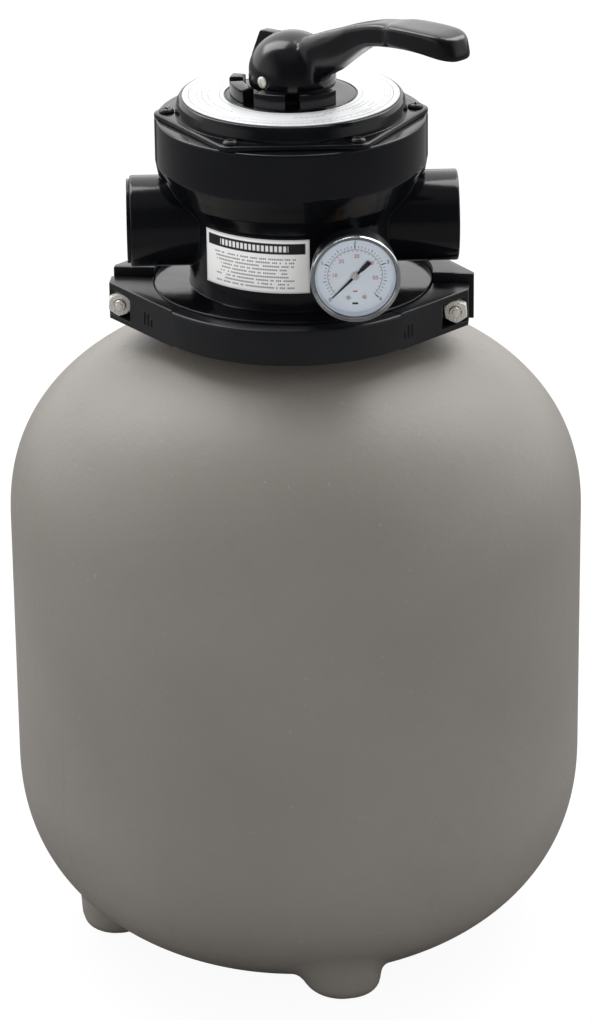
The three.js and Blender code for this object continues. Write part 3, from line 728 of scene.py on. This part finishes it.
def make_bolts():
    back, head_high = -BACK_WING["thick"] - 0.3, 5.5
    front, nut_high = FRONT_WING["thick"] + 0.3, 6.4
    bore = BOLT["r"] + 0.15
    for label, direction in (("left", -1), ("right", 1)):
        at = CLAMP_PLACE @ shift(direction * BOLT["x"] + FRONT_SHIFT, 0, BOLT["z"]) @ TO_FRONT
        head = chamfered_hexagon(back - head_high, back)
        head = moved(head, shift(0, 0, 2 * back - head_high) @ Matrix.Diagonal((1, 1, -1, 1)))
        bolt = combine(head, [thread_mesh(BOLT["r"], back - 1, 22.4, 1.25)], "UNION")
        add_piece(f"clamp_bolt_{label}_fine", moved(bolt, at), 30,
                  "root", "stainless_steel", f"clamp_bolt_{label}")
        nut = chamfered_hexagon(front, front + nut_high, both_ends=True)
        hole = turned_mesh([(0, front - 1), (bore, front - 1), (bore, front + 5.6), (bore + 0.8, front + 7),
                            (0, front + 7)], 40)
        nut = moved(combine(nut, [hole], "DIFFERENCE"), at @ turn(30 + 5 * direction))
        add_piece(f"clamp_nut_{label}_fine", nut, 30,
                  "root", "stainless_steel", f"clamp_nut_{label}")


# ---- valve body
PORT = {"r": 27.3, "bore": 24.0, "z": 459, "depth": 28}
PORT_REACH = {0: 99, 90: 99, 180: 97}  # by azimuth
SCREW = {"pitch": 73.8, "azimuths": range(0, 360, 60), "boss": 7.5, "hole": 2.6}
DRUM_TOP = 523.5
BODY_R = 62
HIDDEN_BOSS_R = 6.2


def screw_place(azimuth):
    """Where the cover screw at an azimuth stands."""
    return turn(azimuth) @ shift(SCREW["pitch"])


def make_valve_body():
    deck = 421
    body = turned_mesh(rounded([
        (0, 395), (58, 395, 1.0), (58, 407.1, 0.5), (79, 407.1, 0.6), (79, deck, 0.7), (BODY_R, deck, 0.8),
        (BODY_R, 467, 9), (71.5, 479, 8), (75.5, 487, 8), (80.3, 495.5, 5), (80.3, DRUM_TOP, 1.3),
        (0, DRUM_TOP)], steps=8), 256)
    for vertex in body.vertices:
        if vertex.co.z < (deck + 0.5) * MM and math.hypot(vertex.co.x, vertex.co.y) > 70 * MM:
            vertex.co.x *= OPENING["widen"]
    top = DRUM_TOP - 0.05
    extras = []
    for azimuth, reach in PORT_REACH.items():
        tube = turned_mesh(rounded([(0, 40), (PORT["r"], 40), (PORT["r"], reach, 1.4), (0, reach)]), 128)
        extras.append(moved(tube, spoke_place(azimuth, PORT["z"])))
    for azimuth in SCREW["azimuths"]:
        boss_r, start = (SCREW["boss"], 486) if azimuth in (0, 180) else (HIDDEN_BOSS_R, 498)
        ear = turned_mesh(rounded([(0, start - 2), (boss_r - 2, start, 3), (boss_r, start + 11, 5),
                                   (boss_r, top, 1.2), (0, top)]), 48)
        extras.append(moved(ear, screw_place(azimuth)))
    gauge_boss = turned_mesh(rounded([(0, 40), (13, 40), (13, 66, 1.5), (0, 66)]), 64)
    body = combine(body, [*extras, moved(gauge_boss, GAUGE_PLACE)], "UNION")

    cuts = [rod_mesh(62.5, 480, DRUM_TOP + 2, 128), rod_mesh(25.4, 393, 482, 64),
            turned_mesh([(29, 393), (57, 393), (57, 474), (29, 474)], 96, loop=True)]
    for azimuth, reach in PORT_REACH.items():
        floor, mouth = reach - PORT["depth"], PORT["bore"] + 1.2
        bore = turned_mesh(rounded([(0, 45), (20, 45), (20, floor, 0.01), (PORT["bore"], floor),
                                    (PORT["bore"], reach - 1.2), (mouth, reach + 0.01), (mouth, reach + 2),
                                    (0, reach + 2)]), 128)
        cuts.append(moved(bore, spoke_place(azimuth, PORT["z"])))
    cuts.append(moved(rod_mesh(6.8, 38, 70), GAUGE_PLACE))
    for azimuth in SCREW["azimuths"]:
        cuts.append(moved(rod_mesh(SCREW["hole"], 502, DRUM_TOP + 2, 20), screw_place(azimuth)))
    add_piece("valve_body_fine", combine(body, cuts, "DIFFERENCE"), 30,
              "root", "valve_plastic", "valve_body")


def make_body_label():
    """The film on the body, with its own map: u runs round the body and v up it."""
    columns = 80
    start, end = math.radians(214), math.radians(277.6)
    around = np.linspace(0, 1, columns)
    radii = BODY_R + np.array([0.42, 0.42, 0.12, 0.12])
    heights = np.array([433, 466, 433, 466])
    vertices = swept(radii, heights, start + (end - start) * around).reshape(-1, 3) * MM
    uvs = [(u, v) for v in (0, 1, 0, 1) for u in around]
    per_side = 2 * columns
    faces = [(k, k + 1, k + columns + 1, k + columns) for k in range(columns - 1)]
    faces += [(per_side + a, per_side + d, per_side + c, per_side + b) for a, b, c, d in faces]
    rim = list(range(columns)) + list(range(per_side - 1, columns - 1, -1))
    faces += [(b, a, per_side + a, per_side + b) for a, b in zip(rim, rim[1:] + rim[:1])]
    mesh = bpy.data.meshes.new("label")
    mesh.from_pydata([tuple(v) for v in vertices], [], faces)
    layer = mesh.uv_layers.new(name="label")
    for loop in mesh.loops:
        layer.data[loop.index].uv = uvs[loop.vertex_index]
    mesh.update()
    add_piece("body_label_film", mesh, 40, "root", "label_white", "body_label", look=BODY_FILM)


# ---- cover
CROWN_BLOCKS = [(-112, -97), (-83, -52), (-38, -7), (7, 45)]  # degrees from the front, + to the right


def make_cover():
    cap = turned_mesh(rounded([
        (56, 514), (61.6, 514), (61.6, 524.2), (68.8, 524.2), (68.8, 528.5, 1.2), (67.6, 533.6, 2.0),
        (66.2, 536, 1.0), (65.1, 536), (65.1, 535.9), (10.6, 535.9), (10.6, 516), (17, 516), (17, 530),
        (50, 530), (56, 525)], steps=6), 256, loop=True)
    corners = []
    for azimuth in SCREW["azimuths"]:
        centre = screw_place(azimuth).translation / MM
        corners += arc(7.5, azimuth - 30, azimuth + 30, 10, centre)
    plate = combine(slab_mesh(corners, 523.8, 526.5, edge=1.0), [rod_mesh(62, 520, 530, 96)], "DIFFERENCE")
    blocks = [slab_mesh(sector_outline(28.3, 36.5, a - 90, b - 90), 534, 546, edge=0.9)
              for a, b in CROWN_BLOCKS]
    hub_ring = turned_mesh(rounded([(24.6, 534), (38.6, 534), (38.6, 536.6, 0.5), (24.6, 536.6, 0.4),
                                    (24.6, 534)])[:-1], 128, loop=True)
    cover = combine(cap, [plate, hub_ring, *blocks], "UNION")
    holes = [moved(rod_mesh(SCREW["hole"], 520, 530, 20), screw_place(a)) for a in SCREW["azimuths"]]
    add_piece("valve_cover_fine", combine(cover, holes, "DIFFERENCE"), 30,
              "root", "valve_plastic", "valve_cover")

    low, top = 536.05, 536.6
    film = turned_mesh(rounded([(39.8, low), (64.7, low), (64.7, top, 0.2), (39.8, top, 0.2),
                                (39.8, low)])[:-1], loop=True)
    add_piece("disc_label_film", film, 30, "root", "label_white", "label_disc")


def make_cover_screws():
    low = 526.6
    top = low + 2.1
    for k, azimuth in enumerate(SCREW["azimuths"]):
        head = turned_mesh(rounded([(0, 504), (1.2, 504), (2.2, 507), (2.2, low), (4.6, low),
                                    (4.6, low + 0.8, 0.5), (3.4, top, 1.2), (0, top)]), 48)
        arms = [box_mesh((-x, -y, low + 0.9), (x, y, low + 5)) for x, y in ((2.6, 0.5), (0.5, 2.6))]
        head = moved(combine(head, arms, "DIFFERENCE"), screw_place(azimuth) @ turn(37 * k))
        add_piece(f"cover_screw_{k + 1}_fine", head, 30,
                  "root", "screw_black", f"cover_screw_{k + 1}")


# ---- handle
DOME = {"r": 26, "rise": 23.8, "base": 542.5}
DOME_SHIFT = shift(1.5)
PIN_PLACE = shift(1.5, 0, PIVOT_Z - 1.6) @ TO_FRONT
STEM_ROOM = 10.7  # half the width of the slot that the stem stands in
ROOT_SOFTENING = 110
# Lever stations: distance from the axis, top, underside, half width, squareness, then the widths of the crest
# and of the keel as shares of the full width.
LEVER = [(2, 564, 547, 9, 2.4, 0.95, 0.9), (14, 573.8, 547.5, 11.5, 2.6, 0.93, 0.85),
         (28, 580.2, 551.6, 12, 3.2, 0.88, 0.8), (40, 584.4, 558.6, 11.6, 4.0, 0.82, 0.75),
         (52, 588.9, 568.6, 11, 4.4, 0.8, 0.75), (64, 592.6, 577.2, 10.6, 4.6, 0.82, 0.84),
         (74, 595.0, 580.8, 10.4, 5.0, 0.88, 0.95), (83, 596.2, 582.2, 10.6, 5.0, 0.94, 1),
         (89, 597.2, 583.4, 12.2, 5.5, 1, 1), (100, 597.8, 584.5, 13.0, 6.0, 1, 1),
         (112, 598.1, 584.6, 13.2, 6.0, 1, 1), (120, 598.0, 583.9, 12.9, 6.0, 1, 1),
         (124, 597.7, 583.4, 12.3, 5.6, 1, 1), (127, 597.2, 583.1, 11.2, 5.2, 1, 1),
         (129.5, 596.5, 583.0, 9.5, 4.8, 1, 1), (131.3, 595.4, 583.2, 7.4, 4.2, 1, 1),
         (132.4, 593.7, 584.2, 5.2, 3.6, 1, 1), (132.8, 591.8, 586, 3.2, 3.0, 1, 1)]
GRIP_LEAN = {"from": 112, "over": 18, "slope": 0.24, "top": 597}  # how the grip's end flares out downwards


def smooth_stations(table, steps):
    """Stations resampled along a smooth curve through the table's rows."""
    rows = np.array(table, float)
    padded = np.vstack([2 * rows[0] - rows[1], rows, 2 * rows[-1] - rows[-2]])
    result = []
    for k in range(len(rows) - 1):
        a, b, c, d = padded[k:k + 4]
        for s in np.arange(steps) / steps:
            square, cube = 2 * a - 5 * b + 4 * c - d, 3 * b - a - 3 * c + d
            result.append(0.5 * (2 * b + (c - a) * s + square * s ** 2 + cube * s ** 3))
    result.append(rows[-1])
    return result


def lever_mesh():
    """The lever and its grip, pointing along +X."""
    columns = 72
    rows = []
    for distance, top, low, half, power, crest, keel in smooth_stations(LEVER, 5):
        flare = min(max((distance - GRIP_LEAN["from"]) / GRIP_LEAN["over"], 0), 1) * GRIP_LEAN["slope"]
        ring = []
        for a in 2 * np.pi * np.arange(columns) / columns:
            c, s = math.cos(a), math.sin(a)
            rise = math.copysign(abs(s) ** (2 / power), s)
            y = half * math.copysign(abs(c) ** (2 / power), c)
            y *= (1 - (1 - crest) * (1 + rise) / 2) * (1 - (1 - keel) * (1 - rise) / 2)
            z = (top + low) / 2 + (top - low) / 2 * rise
            ring.append((distance + flare * (GRIP_LEAN["top"] - z), y, z))
        rows.append(ring)
    return tube_mesh(np.array(rows) * MM)


def upright_plate(outline, low_y, high_y):
    """A plate in the lever's vertical plane from an (x, z) outline in mm, between two sideways offsets."""
    return moved(slab_mesh(outline, low_y, high_y), TO_FRONT @ shift(0, 0, -(low_y + high_y)))


def blend_root(mesh):
    """Softens the hollow corner where the lever grows out of the dome."""
    count = len(mesh.vertices)
    points = np.empty(count * 3)
    mesh.vertices.foreach_get("co", points)
    points = points.reshape(-1, 3)
    pairs = np.empty(len(mesh.edges) * 2, int)
    mesh.edges.foreach_get("vertices", pairs)
    one, two = pairs.reshape(-1, 2).T
    degree = np.bincount(one, minlength=count) + np.bincount(two, minlength=count)
    x, y, z = (points / MM).T

    def rise(value, low, high):
        return np.clip((value - low) / (high - low), 0, 1)

    share = rise(x, 2, 10) * (1 - rise(x, 36, 50)) * rise(z, 549, 554) * rise(np.hypot(x, y), 18, 21) * 0.6
    for _ in range(ROOT_SOFTENING):
        total = np.stack([np.bincount(one, points[two, k], count) + np.bincount(two, points[one, k], count)
                          for k in range(3)], axis=1)
        points += share[:, None] * (total / degree[:, None] - points)
    mesh.vertices.foreach_set("co", points.ravel())
    mesh.update()


def make_handle():
    r, rise, base = DOME["r"], DOME["rise"], DOME["base"]
    profile = [(0, base), (r - 0.6, base, 1.2), (r, base + 3.5, 3)]
    profile += [(r * math.cos(t), PIVOT_Z + rise * math.sin(t))
                for t in np.linspace(0, math.pi / 2 - 0.01, 28)]
    dome = moved(turned_mesh(rounded([*profile, (0, PIVOT_Z + rise)]), 96), DOME_SHIFT)
    cheek = upright_plate([(0, 549), (0, 570), (-12, 570.5), (-27, 569.6), (-28.5, 568), (-35.5, 552),
                           (-30, 549)], 3, 9)
    fin = upright_plate([(8, 551), (28, 553), (35, 555.6), (41.5, 558.6), (54, 571.3), (40, 580),
                         (8, 572)], -2, 2)
    solid = combine(dome, [lever_mesh(), cheek, fin], "UNION")
    slot = box_mesh((-40, -STEM_ROOM, 530), (14.5, STEM_ROOM, PIVOT_Z + 2))
    swing = moved(rod_mesh(14.6, -STEM_ROOM, STEM_ROOM, 48), shift(0, 0, PIVOT_Z) @ TO_FRONT)
    below = box_mesh((-45, -45, 530), (45, 45, base))
    solid = remeshed(combine(solid, [slot, swing, below], "DIFFERENCE"), 0.62 * MM, 4)
    blend_root(solid)
    solid = combine(solid, [moved(rod_mesh(3.7, -40, 40, 40), PIN_PLACE)], "DIFFERENCE")
    add_piece("handle_lever", moved(solid, HANDLE_PLACE), 50, "lever", "handle_plastic", "handle")

    end = [(2.7, 26.05), (3.5, 26.1), (3.1, 26.5), (1.8, 26.8), (0, 26.9)]
    pin = turned_mesh([(r, -z) for r, z in reversed(end)] + end, 40)
    add_piece("handle_pin_fine", moved(pin, HANDLE_PLACE @ PIN_PLACE), 40,
              "rotor_stem", "stainless_steel", "handle_pin")


# ---- spring
SPRING = {"r": 22, "wire": 1.7, "turns": 5, "steps": 48, "sides": 16}


def make_spring():
    """The coil spring under the cover, drawn at the one length of the CAD spring's box; the real spring shortens
    as the stem is lifted.
    """
    low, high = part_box("spring")
    wire, turns = SPRING["wire"], SPRING["turns"]
    bottom, top = low.z + wire * MM, high.z - wire * MM
    around = np.linspace(0, 2 * np.pi, SPRING["sides"], endpoint=False)
    reach = (SPRING["r"] + wire * np.cos(around)) * MM
    rows = []
    for share in np.linspace(0, 1, turns * SPRING["steps"] + 1):
        angle = 2 * np.pi * turns * share
        height = bottom + (top - bottom) * share + wire * MM * np.sin(around)
        rows.append(np.column_stack([reach * math.cos(angle), reach * math.sin(angle), height]))
    piece = add_piece("spring_coil", tube_mesh(np.array(rows)), 50,
                      "turret", "stainless_steel", "spring")
    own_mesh(piece)


# ---- pressure gauge
PRINT_Z = (89.62, 89.68)  # underside and top of the print on the dial
INNER_SCALE = 14.5038  # inner readings for 1 on the outer scale


def gauge_piece(name, mesh, body, slot, *nodes, look=None):
    add_piece(name, moved(mesh, GAUGE_PLACE), 30, body, slot, *nodes, look=look)


def gauge_turned(name, profile, slot, node, loop=True):
    gauge_piece(name, turned_mesh(rounded(profile), 128, loop=loop), "root", slot, node)


def dial_box(x0, x1, y0, y1):
    """A thin printed bar on the dial."""
    return box_mesh((x0, y0, PRINT_Z[0]), (x1, y1, PRINT_Z[1]))


def dial_bar(radius_low, radius_high, angle, width):
    """A printed bar that points outwards at a clock angle in degrees, 0 straight up and + clockwise."""
    return moved(dial_box(-width / 2, width / 2, radius_low, radius_high), turn(-angle))


def dial_ring(radius, width, steps):
    """A thin printed arc over the scale's three quarters of a turn."""
    inner, outer = radius - width / 2, radius + width / 2
    profile = [(inner, PRINT_Z[0]), (outer, PRINT_Z[0]), (outer, PRINT_Z[1]), (inner, PRINT_Z[1])]
    return turned_mesh(profile, steps, loop=True, start=math.radians(-45), sweep=math.radians(270))


def number_mesh(number, radius, angle):
    """A number printed upright on the dial, centred at a radius and clock angle."""
    curve = bpy.data.curves.new("number", "FONT")
    curve.body = str(number)
    curve.size = 3.36 * MM
    curve.align_x = curve.align_y = "CENTER"
    curve.extrude = (PRINT_Z[1] - PRINT_Z[0]) / 2 * MM
    curve.resolution_u = 3
    holder = place("number", curve)
    bpy.context.view_layer.update()
    a = math.radians(angle)
    return moved(evaluated_mesh(holder), shift(radius * math.sin(a), radius * math.cos(a), sum(PRINT_Z) / 2))


def clock_angle(reading):
    """The clock angle of a reading on the outer scale, which runs from 0 to 4 over 270 degrees."""
    return -135 + 270 * reading / 4


def make_gauge():
    gauge_turned("gauge_case_fine", [(3.3, 73.3), (22.5, 73.3, 2.5), (24.9, 76.5, 2), (24.9, 94), (23.8, 94),
                                     (23.8, 75.3), (3.3, 75.3)], "screw_black", "gauge_case")
    gauge_turned("gauge_bezel_fine", [(25.2, 92.6), (25.9, 92.5), (26.4, 93.2), (26.4, 95.6, 0.9),
                                      (25.9, 96.9, 0.5), (25.3, 96.9, 0.3), (25.0, 96.1, 0.3),
                                      (24.4, 96.3, 0.3), (23.7, 95.4), (25.2, 95.4)],
                 "bezel_chrome", "gauge_bezel")
    gauge_turned("gauge_dial_fine", [(1.5, 88.8), (23.6, 88.8), (23.6, 94.0, 0.2), (23.0, 94.0, 0.1),
                                     (22.7, 89.6, 0.8), (1.5, 89.6)], "dial_white", "gauge_dial")
    gauge_turned("gauge_lens_fine", [(0, 94.1), (23.6, 94.1), (23.6, 94.9, 0.3), (0, 95.3)],
                 "lens_clear", "gauge_lens", loop=False)

    black = [dial_bar(16.9, 18.9 if k % 5 == 0 else 18.2, clock_angle(k * 0.1), 0.36 if k % 5 == 0 else 0.26)
             for k in range(41)]
    black += [dial_bar(16.5, 19.2, clock_angle(k), 0.6) for k in range(5)]
    black += [number_mesh(k, 20.7, clock_angle(k)) for k in range(5)]
    black += [dial_ring(15.9, 0.22, 94), dial_box(-1.7, 1.7, -17.6, -16.5)]
    gauge_piece("dial_marks_black", merged(black), "root", "dial_white", look=DIAL_BLACK)
    red = [dial_bar(14.5, 15.7, clock_angle(2 * k / INNER_SCALE), 0.18 if k % 5 else 0.3) for k in range(30)]
    red += [number_mesh(k, 11.9, clock_angle(k / INNER_SCALE)) for k in range(10, 60, 10)]
    red.append(dial_box(-1.4, 1.4, -9.9, -9.2))
    gauge_piece("dial_marks_red", merged(red), "root", "dial_white", look=DIAL_RED)

    screws = []
    for x, y, angle in ((-4.0, -13.5, -137.51), (5.4, -13.2, 185.64)):
        head = turned_mesh(rounded([(0, 89.6), (1.4, 89.6), (1.4, 90.0, 0.3), (0, 90.15)]), 32)
        groove = moved(box_mesh((-2, -0.2, 89.95), (2, 0.2, 91)), turn(angle))
        screws.append(moved(combine(head, [groove], "DIFFERENCE"), shift(x, y)))
    gauge_piece("dial_screws", merged(screws), "root", "stainless_steel")

    side = [(2, 0.8), (-4.2, 0.7), (-5.4, 1.2), (-12, 1.5)]
    blade = slab_mesh([(19, -0.18), (19, 0.18), *side, *[(x, -y) for x, y in reversed(side)]], 90.4, 90.8)
    hub = turned_mesh([(0, 87), (1.0, 87), (1.0, 90.2), (1.3, 90.2), (1.3, 91.0), (0, 91.0)], 40)
    needle = moved(combine(blade, [hub], "UNION"), turn(225))
    gauge_piece("needle_fine", needle, "needle", "needle_black", "gauge_needle")
    cap = turned_mesh(rounded([(0, 90.9), (2.2, 90.9), (2.2, 91.5, 0.3), (1.3, 92.0, 0.4), (0, 92.1)]), 48)
    gauge_piece("needle_cap", cap, "needle", "stainless_steel")


# ---- studio
FLOOR_GREY = 190
FLOOR_MIRRORED_GREY = 90
FLOOR_GLOW = 0.94
ROOM = {"front": 0.52, "left": 2.3, "right": 1.8, "back": 2.9, "top": 0.3}
MIRRORED_ROOM = {"front": 0.05, "left": 0.7, "right": 0.7, "back": 1.5, "top": 0.2}
CAMERA = {"place": (-0.0655, -2.4932, 1.304), "heading": -1.5, "pitch": 22.53, "roll": -0.69, "lens": 154.9}


def make_floor():
    """A pale floor that looks nearly white to the camera and plain grey to everything else."""
    n = Nodes("floor_sheet")
    path = n.add("ShaderNodeLightPath").outputs
    seen = path["Is Camera Ray"]
    unseen = n.mix(path["Is Glossy Ray"], rgb(*[FLOOR_GREY] * 3), rgb(*[FLOOR_MIRRORED_GREY] * 3))
    n.dress(Base_Color=n.mix(seen, unseen, rgb(250, 250, 250)), Roughness=0.6, Specular_IOR_Level=0.1)
    n.blend(n.times(seen, FLOOR_GLOW), n.shader, n.add("ShaderNodeEmission"))
    mesh = bpy.data.meshes.new("floor")
    half = 30
    corners = [(-half, -half, 0), (half, -half, 0), (half, half, 0), (-half, half, 0)]
    mesh.from_pydata(corners, [], [(0, 1, 2, 3)])
    mesh.materials.append(n.material)
    place("floor", mesh)


def area_light(name, location, target, width, height, power):
    light = bpy.data.lights.new(name, "AREA")
    light.shape = "RECTANGLE"
    light.size, light.size_y = width, height
    light.energy = power
    holder = place(name, light)
    holder.location = location
    holder.rotation_euler = (Vector(target) - Vector(location)).to_track_quat("-Z", "Y").to_euler()
    holder.visible_camera = False
    return holder


def make_world():
    """White as the camera sees it, and for everything else a room that is bright behind and beside."""
    world = bpy.data.worlds.new("studio")
    n = Nodes("studio", world)
    x, y, z = n.split(n.place)

    def walls(room):
        right = n.span(x, 0.5, 1.0, room["front"], room["right"], "SMOOTHSTEP")
        left = n.span(x, -0.5, -1.0, 0, room["left"], "SMOOTHSTEP")
        back = n.span(y, -0.05, 0.45, 0, room["back"], "SMOOTHSTEP")
        top = n.span(z, 0.5, 1.0, 0, room["top"], "SMOOTHSTEP")
        return n.larger(n.larger(n.larger(left, right), back), top)

    path = n.add("ShaderNodeLightPath").outputs
    unseen = n.mix(path["Is Glossy Ray"], walls(ROOM), walls(MIRRORED_ROOM), "FLOAT")
    n.dress(Color=(1, 1, 1, 1), Strength=n.mix(path["Is Camera Ray"], unseen, 1.0, "FLOAT"))
    bpy.context.scene.world = world


def make_lights():
    aim = (0, 0, 0.4)
    for label, side in (("left", -1), ("right", 1)):
        area_light(f"overhead_{label}", (side * 0.95, 0.75, 2.1), aim, 0.9, 1.7, 24)
    fill = area_light("front_low", (0, -2.6, 0.9), (0, 0, 0.3), 1.6, 1.0, 8)
    fill.visible_glossy = False


def make_camera():
    camera = bpy.data.cameras.new("camera")
    camera.sensor_fit = "AUTO"
    camera.sensor_width = 36
    camera.lens = CAMERA["lens"]
    camera.clip_start, camera.clip_end = 0.05, 100
    holder = place("camera", camera)
    tilt = Matrix.Rotation(math.radians(90 - CAMERA["pitch"]), 4, "X")
    holder.matrix_world = (Matrix.Translation(CAMERA["place"]) @ turn(CAMERA["heading"]) @ tilt
                           @ turn(CAMERA["roll"]))
    bpy.context.scene.camera = holder


dress_cad_nodes()
make_tank()
clamp_half("clamp_front_fine", "clamp_front", -1)
clamp_half("clamp_back_fine", "clamp_back", 1)
clamp_marks()
make_bolts()
make_valve_body()
make_body_label()
make_cover()
make_cover_screws()
make_handle()
make_spring()
make_gauge()
make_floor()
make_world()
make_lights()
make_camera()
bpy.context.scene.view_settings.view_transform = "Standard"
